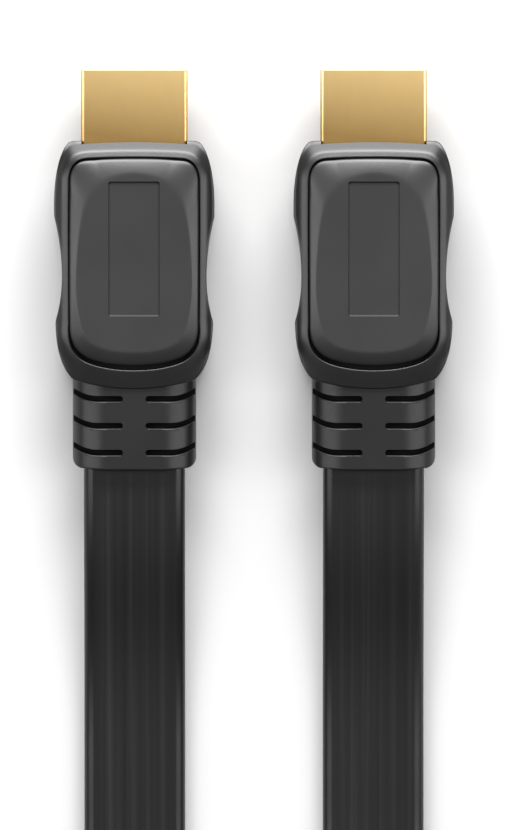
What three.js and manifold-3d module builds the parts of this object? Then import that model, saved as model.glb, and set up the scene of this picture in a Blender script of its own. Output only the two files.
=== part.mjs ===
// HDMI cable: one flat cable with a plug on each end, lying on a level floor, its spare length wound into a
// coil. Units are millimetres and +Z is up. The origin is on the floor, midway between the two plugs and
// halfway along them. Both plugs point along +Y, with their wide faces up.

import * as THREE from 'three';
import { mergeVertices } from 'three/addons/utils/BufferGeometryUtils.js';
import Module from 'manifold-3d';

const wasm = await Module();
wasm.setup();

// Where the plugs lie
const plugSpacing = 31.2;

// Plug shell: the metal sleeve that enters the socket
const shellWidth = 13.9;
const shellHeight = 4.45;
const shellWall = 0.3;
const shellExposed = 9.26;
const shellInsertion = 4.5;
const shellSideHeight = 2.35;
const shellBottomWidth = 10.7;
const shellCornerRadius = 0.45;
const leastCorner = 0.08;

// Insulator inside the shell, and its contacts
const insulatorRecess = 1.2;
const insulatorClearance = 0.1;
const tongueSlotWidth = 10.8;
const tongueSlotHeight = 1.9;
const tongueSlotDepth = 7.5;
const contactPitch = 1.0;
const contactWidth = 0.45;
const contactThickness = 0.2;
const contactSetback = 0.4;
const upperContacts = 10;
const lowerContacts = 9;

// Housing: the moulded grip, waisted between its front and rear swells
const housingLength = 32.3;
const housingRimThickness = 9.0;
const housingSideBand = 4.4;
const housingEdgeInset = 1.5;
const frontHalfWidth = 8.4;
const frontSwellHalfWidth = 10.44;
const waistHalfWidth = 9.4;
const rearSwellHalfWidth = 10.25;
const rearHalfWidth = 7.95;
const frontSwellAt = 8.3;
const frontCreaseAt = 10;
const waistAt = 17.7;
const rearSwellSetback = 8.7;
const rearCornerSetback = 1.2;
const cornerSwellShare = 0.54;

// Caps let into the housing's two faces
const capHalfWidth = 8.36;
const capRearHalfWidth = 7.88;
const capFrontSetback = 2.25;
const capRearSetback = 3.05;
const capArch = 0.4;
const capFrontCorner = 3.1;
const capRearCorner = 2.35;
const capRearArch = 0.65;
const capGap = 0.26;
const capRearGap = 0.6;
const capDepth = 1.1;
const capBorderHeight = 0.7;
const capCrown = 1.15;
const crownReach = 2.2;
const crownFrontHalfWidth = 6.2;
const crownMiddleHalfWidth = 7.47;
const crownRearHalfWidth = 6.3;
const crownFrontSetback = 2.15;
const crownRearSetback = 1.85;
const crownFrontArch = 2.9;
const crownRearArch = 2.1;

// Label field sunk in the top cap
const labelHalfWidth = 3.24;
const labelLength = 17.2;
const labelSetback = 3.25;
const labelSink = 0.2;

// Strain relief behind the housing, slotted so that it flexes
const reliefHalfWidth = 8.06;
const reliefThickness = 7.0;
const reliefExposed = 10.76;
const reliefWeb = 0.55;
const reliefEndRound = 1.45;
const fitClearance = 0.2;
const slotPairs = 3;
const slotPitch = 3.5;
const slotWidth = 0.75;
const slotDepth = 1.9;
const slotBridge = 3.0;
const slotStraightTo = 4.7;
const slotRise = 1.15;
const firstSlotFromHousing = 1.3;

// Flat cable
const cableWidth = 13.2;
const cableThickness = 3.2;
const cableCorner = 0.95;
const solidGap = 0.3;

// Coil: the doubled cable stands on edge and winds outwards from its middle
const coilCentreX = 44;
const coilCentreY = -186;
const coilInnerRadius = 52.8;
const coilOuterRadius = 68.7;
const strandPitch = 4.8;
const leftLeavesAt = 156.4;
const middleBendPoints = 8;

// Ties round the coil
const tieAngles = [-15, -120];
const tieWidth = 9;
const tieThickness = 0.8;
const tieGap = 0.2;
const tieSideGap = 0.35;
const tieCorner = 0.5;
const tieHold = 6;
const tieSpread = 30;
const tiedPitch = 3.3;
const tiedStrands = 3;

// Places that follow from the sizes, in the plug's own frame: its middle is the origin and its tip is at +Y
const plugLength = shellExposed + housingLength + reliefExposed;
const tipY = plugLength / 2;
const housingFrontY = tipY - shellExposed;
const housingRearY = housingFrontY - housingLength;
const plugRearY = -plugLength / 2;
const overrun = 1;
const rimZ = housingRimThickness / 2;
const pocketFloorZ = rimZ - capDepth;
const capTopZ = rimZ - capDepth + capBorderHeight + capCrown;
const capFrontY = housingFrontY - capFrontSetback;
const capRearY = housingRearY + capRearSetback;
const reliefFrontY = capRearY - capRearGap - reliefWeb;
const insulatorFrontY = tipY - insulatorRecess;
const shellRearY = housingFrontY - shellInsertion;
const edgeLift = tieThickness + tieGap;
const coilStrandZ = edgeLift + cableWidth / 2;

// The cable's two free stretches, from the plug to where they run into the coil
const leftRoute = [
  [-15.6, -26.46, 5.25],
  [-15.6, -30, 5.2],
  [-15.6, -36, 4.7],
  [-15.6, -43, 3.45],
  [-15.6, -50, 2.3],
  [-15.6, -57, 1.75],
  [-15.6, -66, 1.7],
  [-15.6, -78, 1.75],
  [-15.6, -90, 3.2],
  [-15.6, -101.5, 5.8],
  [-15.6, -113, 7.3],
  [-15.6, -127, 7.6],
  [-15.6, -142.5, 7.6],
  [-16.5, -150.8, 7.6],
  [-18.95, -158.5, 7.6],
];
const leftTwist = [52, 100];
const rightRoute = [
  [15.6, -26.46, 5.25],
  [15.6, -30, 5.2],
  [15.6, -36, 4.7],
  [15.6, -43, 3.45],
  [15.6, -50, 2.3],
  [15.6, -57, 1.75],
  [15.6, -66, 1.7],
  [15.6, -76, 1.75],
  [15.6, -85.5, 3.1],
  [15.6, -95, 5.8],
  [15.6, -104, 7.3],
  [15.6, -111.5, 7.6],
  [14.3, -120.3, 7.6],
  [10.5, -128.3, 7.6],
  [4.1, -135.1, 7.6],
];
const rightTwist = [50, 88];
const alwaysOnEdge = [-2, -1];
const runSteps = 22;
const bendSteps = 24;

// Materials
const gold = new THREE.MeshStandardMaterial({ color: 0xcaa56a, roughness: 0.35, metalness: 1 });
const contactGold = new THREE.MeshStandardMaterial({ color: 0xe0b860, roughness: 0.25, metalness: 1 });
const blackPlastic = new THREE.MeshStandardMaterial({ color: 0x101010, roughness: 0.6, metalness: 0 });
const charcoal = new THREE.MeshStandardMaterial({ color: 0x2b2b2d, roughness: 0.5, metalness: 0 });
const cableBlack = new THREE.MeshStandardMaterial({ color: 0x1c1c1e, roughness: 0.55, metalness: 0 });
const tieBlack = new THREE.MeshStandardMaterial({ color: 0x141414, roughness: 0.9, metalness: 0 });

// Closed mesh to solid, and back
function toSolid(geometry) {
  const bare = geometry.clone();
  bare.deleteAttribute('normal');
  bare.deleteAttribute('uv');
  const merged = mergeVertices(bare, 1e-4);
  return new wasm.Manifold(new wasm.Mesh({
    numProp: 3,
    vertProperties: new Float32Array(merged.attributes.position.array),
    triVerts: new Uint32Array(merged.index.array),
  }));
}

function toGeometry(solid) {
  const mesh = solid.getMesh();
  const geometry = new THREE.BufferGeometry();
  geometry.setAttribute('position', new THREE.BufferAttribute(mesh.vertProperties, 3));
  geometry.setIndex(new THREE.BufferAttribute(mesh.triVerts, 1));
  geometry.computeVertexNormals();
  return geometry;
}

function cut(body, tools) {
  return toGeometry(tools.reduce((solid, tool) => solid.subtract(toSolid(tool)), toSolid(body)));
}

// Outline drawn down its right side only, from the front middle to the rear middle, and mirrored to the left
function mirrored(rightSide, divisions) {
  const right = rightSide.getPoints(divisions);
  const left = right.slice(1, -1).reverse().map((point) => new THREE.Vector2(-point.x, point.y));
  return [...right, ...left];
}

// The same outline, every edge moved outwards by a distance, or inwards if it is negative
function grown(points, distance) {
  const outward = THREE.ShapeUtils.isClockWise(points) ? -1 : 1;
  return points.map((point, i) => {
    const before = point.clone().sub(points.at(i - 1)).normalize();
    const after = points[(i + 1) % points.length].clone().sub(point).normalize();
    const normalBefore = new THREE.Vector2(before.y, -before.x).multiplyScalar(outward);
    const normalAfter = new THREE.Vector2(after.y, -after.x).multiplyScalar(outward);
    const mitre = normalBefore.clone().add(normalAfter);
    return point.clone().addScaledVector(mitre, distance / (1 + normalBefore.dot(normalAfter)));
  });
}

// Prism of an outline drawn in plan, standing between two heights
function plate(points, lowZ, highZ) {
  const settings = { depth: highZ - lowZ, bevelEnabled: false };
  return new THREE.ExtrudeGeometry(new THREE.Shape(points), settings).translate(0, 0, lowZ);
}

// Prism of a cross-section drawn in X and Z, running back from frontY to rearY
function bar(points, frontY, rearY, holes = []) {
  const shape = new THREE.Shape(points);
  shape.holes = holes.map((hole) => new THREE.Path([...hole].reverse()));
  const geometry = new THREE.ExtrudeGeometry(shape, { depth: frontY - rearY, bevelEnabled: false });
  return geometry.rotateX(Math.PI / 2).translate(0, frontY, 0);
}

function box(width, length, height, x, y, z) {
  return new THREE.BoxGeometry(width, length, height).translate(x, y, z);
}

// Outline through given corners, each one rounded off
function rounded(corners, radius, divisions) {
  const path = new THREE.Path();
  corners.forEach((corner, i) => {
    const before = corners.at(i - 1).clone().sub(corner);
    const after = corners[(i + 1) % corners.length].clone().sub(corner);
    const setback = radius / Math.tan(before.angleTo(after) / 2);
    const start = before.setLength(setback).add(corner);
    const end = after.setLength(setback).add(corner);
    if (i === 0) {
      path.moveTo(start.x, start.y);
    } else {
      path.lineTo(start.x, start.y);
    }
    path.quadraticCurveTo(corner.x, corner.y, end.x, end.y);
  });
  return path.getPoints(divisions);
}

// Plug shell's cross-section, moved outwards by a distance, or inwards if it is negative: a wide flat top,
// upright sides, and below them sides that lean in to a narrower bottom
function shellSection(distance) {
  const half = shellWidth / 2;
  const top = shellHeight / 2;
  const rightCorners = [[half, top], [half, top - shellSideHeight], [shellBottomWidth / 2, -top]];
  const leftCorners = rightCorners.map(([x, y]) => [-x, y]).reverse();
  const corners = [...rightCorners, ...leftCorners].map(([x, y]) => new THREE.Vector2(x, y));
  return rounded(grown(corners, distance), Math.max(shellCornerRadius + distance, leastCorner), 2);
}

function makeShell() {
  return bar(shellSection(0), tipY, shellRearY, [shellSection(-shellWall)]);
}

function makeInsulator() {
  const body = bar(shellSection(-shellWall - insulatorClearance), insulatorFrontY, shellRearY);
  const slotLength = tongueSlotDepth + overrun;
  const slotY = insulatorFrontY + overrun - slotLength / 2;
  return cut(body, [box(tongueSlotWidth, slotLength, tongueSlotHeight, 0, slotY, 0)]);
}

// Contacts lie on the slot's upper and lower walls, the lower row half a pitch across from the upper one
function makeContacts() {
  const length = tongueSlotDepth - contactSetback;
  const y = insulatorFrontY - contactSetback - length / 2;
  const z = tongueSlotHeight / 2 - contactThickness / 2;
  const rows = [
    { name: 'contact_upper', count: upperContacts, z },
    { name: 'contact_lower', count: lowerContacts, z: -z },
  ];
  return rows.flatMap((row) => Array.from({ length: row.count }, (_, i) => {
    const x = (i - (row.count - 1) / 2) * contactPitch;
    return [`${row.name}_${i + 1}`, box(contactWidth, length, contactThickness, x, y, row.z), contactGold];
  }));
}

// Housing's outline in plan
function housingOutline() {
  const frontSwellY = housingFrontY - frontSwellAt;
  const creaseY = housingFrontY - frontCreaseAt;
  const waistY = housingFrontY - waistAt;
  const rearSwellY = housingRearY + rearSwellSetback;
  const rearCornerY = housingRearY + rearCornerSetback;
  const cornerHalfWidth = THREE.MathUtils.lerp(frontHalfWidth, frontSwellHalfWidth, cornerSwellShare);
  const between = THREE.MathUtils.lerp;
  const side = new THREE.Path();
  side.moveTo(0, housingFrontY);
  side.lineTo(frontHalfWidth, housingFrontY);
  side.bezierCurveTo(
    cornerHalfWidth, between(housingFrontY, frontSwellY, 0.15),
    frontSwellHalfWidth, between(housingFrontY, frontSwellY, 0.5),
    frontSwellHalfWidth, frontSwellY,
  );
  side.lineTo(frontSwellHalfWidth, creaseY);
  side.quadraticCurveTo(waistHalfWidth, between(creaseY, waistY, 0.58), waistHalfWidth, waistY);
  side.quadraticCurveTo(waistHalfWidth, between(waistY, rearSwellY, 0.5), rearSwellHalfWidth, rearSwellY);
  const rearBendY = between(rearSwellY, rearCornerY, 0.7);
  side.quadraticCurveTo(rearSwellHalfWidth, rearBendY, rearHalfWidth, rearCornerY);
  side.quadraticCurveTo(rearHalfWidth / 2, housingRearY, 0, housingRearY);
  return mirrored(side, 4);
}

// Cap's outline in plan: arched front, sides that close slightly towards the rear, smile-shaped rear
function capOutline() {
  const front = [capHalfWidth * 0.75, capFrontY - capArch * 0.6];
  const rear = [capRearHalfWidth * 0.65, capRearY + capRearArch];
  const archY = capFrontY - capArch;
  const side = new THREE.Path();
  side.moveTo(0, capFrontY);
  side.quadraticCurveTo(capHalfWidth * 0.45, capFrontY, ...front);
  side.quadraticCurveTo(capHalfWidth, archY, capHalfWidth, archY - capFrontCorner);
  side.lineTo(capRearHalfWidth, capRearY + capRearArch + capRearCorner);
  side.quadraticCurveTo(capRearHalfWidth, capRearY + capRearArch * 1.4, ...rear);
  side.quadraticCurveTo(capRearHalfWidth * 0.36, capRearY, 0, capRearY);
  return mirrored(side, 4);
}

// Pocket that the cap sits in: an even gap all round, and a wider one behind the cap
function pocketOutline() {
  const reach = (capFrontY - capRearY) / 4;
  return grown(capOutline(), capGap).map((point) => {
    const rearShare = THREE.MathUtils.smoothstep(capRearY + reach - point.y, 0, reach);
    return new THREE.Vector2(point.x, point.y - (capRearGap - capGap) * rearShare);
  });
}

// Raised middle of the cap, whose slope falls off towards the cap's edge
function crownOutline() {
  const front = capFrontY - crownFrontSetback;
  const rear = capRearY + crownRearSetback;
  const shoulderY = front - crownFrontArch;
  const rearShoulderY = rear + crownRearArch;
  const middle = THREE.MathUtils.lerp(front, rear, 0.58);
  const side = new THREE.Path();
  side.moveTo(0, front);
  side.quadraticCurveTo(crownFrontHalfWidth * 0.84, front, crownFrontHalfWidth, shoulderY);
  side.quadraticCurveTo(crownMiddleHalfWidth, (shoulderY + middle) / 2, crownMiddleHalfWidth, middle);
  const lowerY = (middle + rearShoulderY) / 2;
  side.quadraticCurveTo(crownMiddleHalfWidth, lowerY, crownRearHalfWidth, rearShoulderY);
  side.quadraticCurveTo(crownRearHalfWidth * 0.88, rear, 0, rear);
  return mirrored(side, 4);
}

function makeCap(hasLabelField) {
  const baseTop = pocketFloorZ + capBorderHeight;
  const prism = toSolid(plate(capOutline(), pocketFloorZ, capTopZ + overrun));
  const base = toSolid(plate(capOutline(), pocketFloorZ, baseTop));
  const crown = new THREE.ExtrudeGeometry(new THREE.Shape(crownOutline()), {
    depth: capDepth,
    bevelThickness: capCrown,
    bevelSize: crownReach,
    bevelSegments: 2,
  });
  crown.translate(0, 0, capTopZ - capCrown - capDepth);
  let cap = base.add(toSolid(crown).intersect(prism));
  if (hasLabelField) {
    const height = labelSink + overrun;
    const y = capFrontY - labelSetback - labelLength / 2;
    const field = box(2 * labelHalfWidth, labelLength, height, 0, y, capTopZ - labelSink + height / 2);
    cap = cap.subtract(toSolid(field));
  }
  return toGeometry(cap);
}

// Strain relief's cross-section: flat faces and round sides
function reliefSection() {
  const r = reliefThickness / 2;
  const shape = new THREE.Path();
  shape.absarc(reliefHalfWidth - r, 0, r, -Math.PI / 2, Math.PI / 2);
  shape.absarc(r - reliefHalfWidth, 0, r, Math.PI / 2, 3 * Math.PI / 2);
  return shape.getPoints(8);
}

// Plan of one slot: round inner end, straight, then bent forwards to run out at the side
function slotOutline(y, side) {
  const half = slotWidth / 2;
  const outerX = reliefHalfWidth + overrun;
  const outerY = y + slotRise * (outerX - slotStraightTo) / (reliefHalfWidth - slotStraightTo);
  const bend = (slotStraightTo + outerX) / 2;
  const path = new THREE.Path();
  path.moveTo(slotStraightTo, y - half);
  path.quadraticCurveTo(bend, y - half, outerX, outerY - half);
  path.lineTo(outerX, outerY + half);
  path.quadraticCurveTo(bend, y + half, slotStraightTo, y + half);
  path.absarc(slotBridge / 2 + half, y, half, Math.PI / 2, 3 * Math.PI / 2);
  return path.getPoints(3).map((point) => new THREE.Vector2(point.x * side, point.y));
}

function makeRelief() {
  const bevel = reliefEndRound;
  const body = new THREE.ExtrudeGeometry(new THREE.Shape(reliefSection()), {
    depth: reliefFrontY - plugRearY - 2 * bevel,
    bevelThickness: bevel,
    bevelSize: bevel,
    bevelOffset: -bevel,
    bevelSegments: 3,
  });
  body.rotateX(Math.PI / 2).translate(0, reliefFrontY - bevel, 0);
  const floorZ = reliefThickness / 2 - slotDepth;
  const openZ = reliefThickness / 2 + overrun;
  const slots = [];
  for (let i = 0; i < slotPairs; i += 1) {
    const y = housingRearY - firstSlotFromHousing - i * slotPitch;
    for (const side of [-1, 1]) {
      slots.push(plate(slotOutline(y, side), floorZ, openZ));
      slots.push(plate(slotOutline(y, side), -openZ, -floorZ));
    }
  }
  return cut(body, slots);
}

function makeHousing() {
  const bevel = (housingRimThickness - housingSideBand) / 2;
  const body = new THREE.ExtrudeGeometry(new THREE.Shape(housingOutline()), {
    depth: housingSideBand,
    bevelThickness: bevel,
    bevelSize: housingEdgeInset,
    bevelOffset: -housingEdgeInset,
    bevelSegments: 3,
  });
  body.translate(0, 0, -housingSideBand / 2);
  const reliefPocket = grown(reliefSection(), fitClearance);
  return cut(body, [
    plate(pocketOutline(), pocketFloorZ, rimZ + overrun),
    plate(pocketOutline(), -rimZ - overrun, -pocketFloorZ),
    bar(shellSection(fitClearance), housingFrontY + overrun, shellRearY - fitClearance),
    bar(reliefPocket, reliefFrontY + fitClearance, housingRearY - overrun),
  ]);
}

// Cable's cross-section: flat with rounded corners
function cableSection() {
  const half = cableWidth / 2;
  const top = cableThickness / 2;
  const corners = [[half, top], [-half, top], [-half, -top], [half, -top]];
  return new THREE.Shape(rounded(corners.map(([x, y]) => new THREE.Vector2(x, y)), cableCorner, 1));
}

// Flat cable laid along a curve. It lies flat at the start, and turns on edge between two distances along it
function ribbon(route, steps, twist) {
  const length = route.getLength();
  const geometry = new THREE.ExtrudeGeometry(cableSection(), { depth: 1, steps, bevelEnabled: false });
  const position = geometry.getAttribute('position');
  const up = new THREE.Vector3(0, 0, 1);
  for (let i = 0; i < position.count; i += 1) {
    const share = THREE.MathUtils.clamp(position.getZ(i), 0, 1);
    const along = route.getTangentAt(share);
    const side = up.clone().cross(along).normalize();
    const lift = along.clone().cross(side);
    const roll = Math.PI / 2 * THREE.MathUtils.smoothstep(share * length, twist[0], twist[1]);
    const across = side.clone().multiplyScalar(Math.cos(roll)).addScaledVector(lift, Math.sin(roll));
    const normal = lift.clone().multiplyScalar(Math.cos(roll)).addScaledVector(side, -Math.sin(roll));
    const point = route.getPointAt(share);
    point.addScaledVector(across, position.getX(i)).addScaledVector(normal, position.getY(i));
    position.setXYZ(i, point.x, point.y, point.z);
  }
  geometry.computeVertexNormals();
  return geometry;
}

// Upright disc about the coil's axis, tall enough to trim the cable with
function coilDisc(radius) {
  const height = 4 * cableWidth;
  const segments = 96;
  const disc = new THREE.CylinderGeometry(radius, radius, height, segments).rotateX(Math.PI / 2);
  return disc.translate(coilCentreX, coilCentreY, 0);
}

function makeRun(points, twist) {
  const route = new THREE.CatmullRomCurve3(points.map((point) => new THREE.Vector3(...point)));
  const outer = coilOuterRadius + cableThickness / 2 + solidGap;
  return cut(ribbon(route, runSteps, twist), [coilDisc(outer)]);
}

// Middle of the cable: an S of two half circles across the coil's bore, the second one the first turned about
// the coil's axis
function makeMiddleBend() {
  const turnsIn = (coilOuterRadius - coilInnerRadius) / (2 * strandPitch);
  const startAngle = THREE.MathUtils.degToRad(leftLeavesAt) + 2 * Math.PI * turnsIn;
  const r = coilInnerRadius / 2;
  const firstHalf = Array.from({ length: middleBendPoints + 1 }, (_, i) => {
    const angle = startAngle + Math.PI * i / middleBendPoints;
    return new THREE.Vector2(Math.cos(startAngle) + Math.cos(angle), Math.sin(startAngle) + Math.sin(angle));
  });
  const secondHalf = firstHalf.slice(0, -1).reverse().map((point) => point.clone().negate());
  const points = [...firstHalf, ...secondHalf].map((point) => {
    return new THREE.Vector3(coilCentreX + r * point.x, coilCentreY + r * point.y, coilStrandZ);
  });
  const bore = coilInnerRadius - cableThickness / 2 - solidGap;
  const bend = toSolid(ribbon(new THREE.CatmullRomCurve3(points), bendSteps, alwaysOnEdge));
  return toGeometry(bend.intersect(toSolid(coilDisc(bore))));
}

// Middle of the tied strands, seen from the coil's axis at an angle in degrees
function tiedRadius(angle) {
  const turns = THREE.MathUtils.euclideanModulo(angle - leftLeavesAt, 360) / 360;
  return coilOuterRadius - 2 * strandPitch * turns - strandPitch * (tiedStrands - 1) / 2;
}

const tiedBuild = tiedPitch * (tiedStrands - 1) + cableThickness;

// The wound turns as one ring, drawn in where the ties hold it
function makeCoil() {
  const inner = coilInnerRadius - cableThickness / 2;
  const outer = coilOuterRadius + cableThickness / 2;
  const corner = cableCorner;
  const low = edgeLift;
  const high = edgeLift + cableWidth;
  const profile = [
    [inner + corner, low], [outer - corner, low], [outer, low + corner], [outer, high - corner],
    [outer - corner, high], [inner + corner, high], [inner, high - corner], [inner, low + corner],
    [inner + corner, low],
  ].map(([r, z]) => new THREE.Vector2(r, z));
  const segments = 48;
  const ring = new THREE.LatheGeometry(profile, segments).rotateX(Math.PI / 2);
  const position = ring.getAttribute('position');
  for (let i = 0; i < position.count; i += 1) {
    const radius = Math.hypot(position.getX(i), position.getY(i));
    const angle = Math.atan2(position.getY(i), position.getX(i));
    let drawn = radius;
    for (const tie of tieAngles) {
      const apart = THREE.MathUtils.radToDeg(angle) - tie;
      const offset = Math.abs(THREE.MathUtils.euclideanModulo(apart + 180, 360) - 180);
      const hold = 1 - THREE.MathUtils.smoothstep(offset, tieHold, tieSpread);
      const tight = tiedRadius(tie) + (radius - (inner + outer) / 2) * tiedBuild / (outer - inner);
      drawn = THREE.MathUtils.lerp(drawn, tight, hold);
    }
    position.setXY(i, Math.cos(angle) * drawn, Math.sin(angle) * drawn);
  }
  return ring.translate(coilCentreX, coilCentreY, 0);
}

// Strap in a closed loop round the strands, standing on the floor
function makeTie(angle) {
  const half = new THREE.Vector2(tiedBuild / 2 + tieSideGap, cableWidth / 2 + tieGap);
  const signs = [[1, 1], [-1, 1], [-1, -1], [1, -1]];
  const corners = signs.map(([x, y]) => new THREE.Vector2(x, y).multiply(half));
  const outer = rounded(grown(corners, tieThickness), tieCorner + tieThickness, 2);
  const strap = bar(outer, tieWidth / 2, -tieWidth / 2, [rounded(corners, tieCorner, 2)]);
  strap.translate(tiedRadius(angle), 0, coilStrandZ).rotateZ(THREE.MathUtils.degToRad(angle));
  return strap.translate(coilCentreX, coilCentreY, 0);
}

function addPiece(group, name, geometry, material) {
  const mesh = new THREE.Mesh(geometry, material);
  mesh.name = name;
  group.add(mesh);
}

function makePlug(side) {
  const plug = new THREE.Group();
  const bottomCap = makeCap(false).rotateY(Math.PI);
  const pieces = [
    ['shell', makeShell(), gold],
    ['insulator', makeInsulator(), blackPlastic],
    ...makeContacts(),
    ['housing', makeHousing(), charcoal],
    ['top_cap', makeCap(true), charcoal],
    ['bottom_cap', bottomCap, charcoal],
    ['strain_relief', makeRelief(), charcoal],
  ];
  pieces.forEach(([name, geometry, material]) => addPiece(plug, `${side}_${name}`, geometry, material));
  return plug;
}

const cable = new THREE.Group();

const leftPlug = makePlug('left');
leftPlug.position.set(-plugSpacing / 2, 0, capTopZ);
const rightPlug = makePlug('right');
rightPlug.position.set(plugSpacing / 2, 0, capTopZ);
cable.add(leftPlug, rightPlug);

addPiece(cable, 'cable_run_left', makeRun(leftRoute, leftTwist), cableBlack);
addPiece(cable, 'cable_run_right', makeRun(rightRoute, rightTwist), cableBlack);
addPiece(cable, 'cable_coil', makeCoil(), cableBlack);
addPiece(cable, 'cable_middle_bend', makeMiddleBend(), cableBlack);
tieAngles.forEach((angle, i) => addPiece(cable, `tie_${i + 1}`, makeTie(angle), tieBlack));

export default cable;
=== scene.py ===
# Looks of a flat HDMI cable with a plug on each end: detailed meshes, materials, studio light and camera.
# Lengths are in millimetres and angles in degrees until a mesh is made. The model itself is in metres.

import math

import bmesh
import bpy
from mathutils import Matrix, Vector


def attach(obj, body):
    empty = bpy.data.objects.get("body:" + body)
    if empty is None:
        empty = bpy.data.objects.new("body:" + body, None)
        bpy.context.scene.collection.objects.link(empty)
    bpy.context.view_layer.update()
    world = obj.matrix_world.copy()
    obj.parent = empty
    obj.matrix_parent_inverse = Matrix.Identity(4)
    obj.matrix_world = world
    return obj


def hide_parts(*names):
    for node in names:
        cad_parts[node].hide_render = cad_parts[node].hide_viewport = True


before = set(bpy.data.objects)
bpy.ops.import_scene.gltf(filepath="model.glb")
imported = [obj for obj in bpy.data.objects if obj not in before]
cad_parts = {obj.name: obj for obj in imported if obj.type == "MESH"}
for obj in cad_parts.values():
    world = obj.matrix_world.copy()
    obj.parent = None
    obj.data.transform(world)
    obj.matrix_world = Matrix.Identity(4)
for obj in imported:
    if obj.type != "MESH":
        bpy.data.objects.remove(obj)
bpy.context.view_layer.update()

MM = 0.001

# Plugs
PLUG_X = {"left": -15.6, "right": 15.6}
MID_Z = 5.25
TIP_Y = 26.16
HOUSING_FRONT = 16.9
HOUSING_REAR = -15.4
SHELL_REAR = 12.4
RELIEF_FRONT = -13.5
PLUG_REAR = -26.16

# Shell
SHELL_WIDTH = 13.9
SHELL_HEIGHT = 4.45
SHELL_WALL = 0.3
SHELL_SIDE = 2.35
SHELL_BOTTOM = 10.7
SHELL_CORNER = 0.45

# Housing: heights are above the plug's middle plane, and outs are distances outwards from the cap's pocket
HOUSING_LOOP_POINTS = 420
POCKET_LOOP_POINTS = 190
FACING_BLEND = (0.3, 0.9)
RIM_Z = 4.5
RIM_LIP = (0.07, 0.15)
RIM_SIDE_CREASE = (0.0, 1.3)
RIM_FRONT_CREASE = (0.5, 1.2)
RIM_BAND_TILT = (14, 20)
RIM_SIDE_TILT = 45
RIM_FRONT_TILT = 38
RIM_REAR_TILT = 15
RIM_OUTS = (0.1, 0.2, 0.3, 0.4, 0.5, 0.6, 0.7, 0.8, 0.9, 1.0, 1.12)
RIM_FULL_OUT = 1.2
SILHOUETTE_ROUND = 0.16
SILHOUETTE_DROP = 1.4
SIDE_WALL = 1.0
POCKET_GAP = 0.15
POCKET_REAR_GAP = 0.6
POCKET_REAR = (6.5, 12.0)
POCKET_FLOOR_Z = 3.4
POCKET_WALL = 0.06
# Points from this far below the pocket's floor up to this far below the rim get painted shade
PAINTED_SHADE_MARGIN = 0.2
NOTCH_HALF_WIDTH = 6.88
NOTCH_SIDE_Y = 16.44
NOTCH_MIDDLE_Y = 16.72
SHELL_CLEARANCE = 0.04
RELIEF_CLEARANCE = (0.1, 0.16)
RELIEF_WAY_REAR = -20

# Caps: the border's slopes are shares of its mean slope, and its reaches are shares of its width
CAP_LOOP_POINTS = 150
CAP_TOP_Z = 5.25
CAP_WALL = 0.6
# The cap's sides get painted shade below this height
CAP_PAINTED_SHADE_BELOW = 4.3
CAP_MOST_RISE = 0.95
CAP_BORDER_SLOPE = 0.29
CAP_EDGE_ROUND = 0.38
CAP_EDGE_TURN = 65
CAP_EDGE_STEPS = 5
CAP_CREASE = (0.78, 1.14)
BORDER_STEPS = 22
BORDER_SLOPES = (1.35, 0.75)
BORDER_EDGE_SLOPE = 0.45
BORDER_EDGE_REACH = 0.14
LABEL_HALF_WIDTH = 3.2
LABEL_FRONT = 11.4
LABEL_REAR = -5.8
LABEL_SINK = 0.28
LABEL_LIP = 0.2
LABEL_FLARE = 0.15
LABEL_CORNER = 0.32

# Strain relief
RELIEF_HALF_WIDTH = 8.06
RELIEF_HALF_THICKNESS = 3.5
RELIEF_FLAT_HALF = 3.6
RELIEF_END_ROUND = 2.0
RELIEF_END_IN = 1.6
RELIEF_END_BOW = 0.46
RELIEF_END_STEPS = 12
RELIEF_LEAD_IN = 0.6
RELIEF_ROWS = 28
RELIEF_THINS_FROM = 0.7
RELIEF_THINNING = 3.3
SLOT_YS = (-16.7, -20.2, -23.7)
SLOT_HALF_WIDTH = 0.36
SLOT_INNER_X = 1.5
SLOT_STRAIGHT_TO = 4.7
SLOT_RISE = 1.15
SLOT_FLOOR_Z = 1.6
SLOT_LIP = 0.14
SLOT_END_STEPS = 6
SLOT_EDGE_GAP = 0.12
# Stretch along the relief whose slots get painted shade
SLOTTED_Y = (-24.4, -15)

# Flat cable
CABLE_WIDTH = 13.2
CABLE_THICKNESS = 3.2
CABLE_CORNER = 1.35
CABLE_STEP = 1.6
CABLE_SMOOTHINGS = 6

# Coil
COIL_CENTRE = (44.0, -186.0)
COIL_INNER = 52.8
COIL_OUTER = 68.7
STRAND_PITCH = 4.8
LEFT_LEAVES_AT = 156.4
RIGHT_LEAVES_AT = 128.1
STRAND_Z = 7.6
TIE_ANGLES = (-15.0, -120.0)
TIED_PITCH = 3.3
TIE_HOLD = 6.0
TIE_SPREAD = 30.0
TIE_WIDTH = 9.0
TIE_THICKNESS = 0.8
TIE_CLEARANCE = 0.15
TIE_CORNER = 0.7
TIE_EDGE = 0.2
LAP_CORNER = 1.5
LAP_END = 2.2
LAP_POINTS = 48
LAP_THICKNESS = 0.9
LAP_CLEARANCE = 0.03

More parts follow.
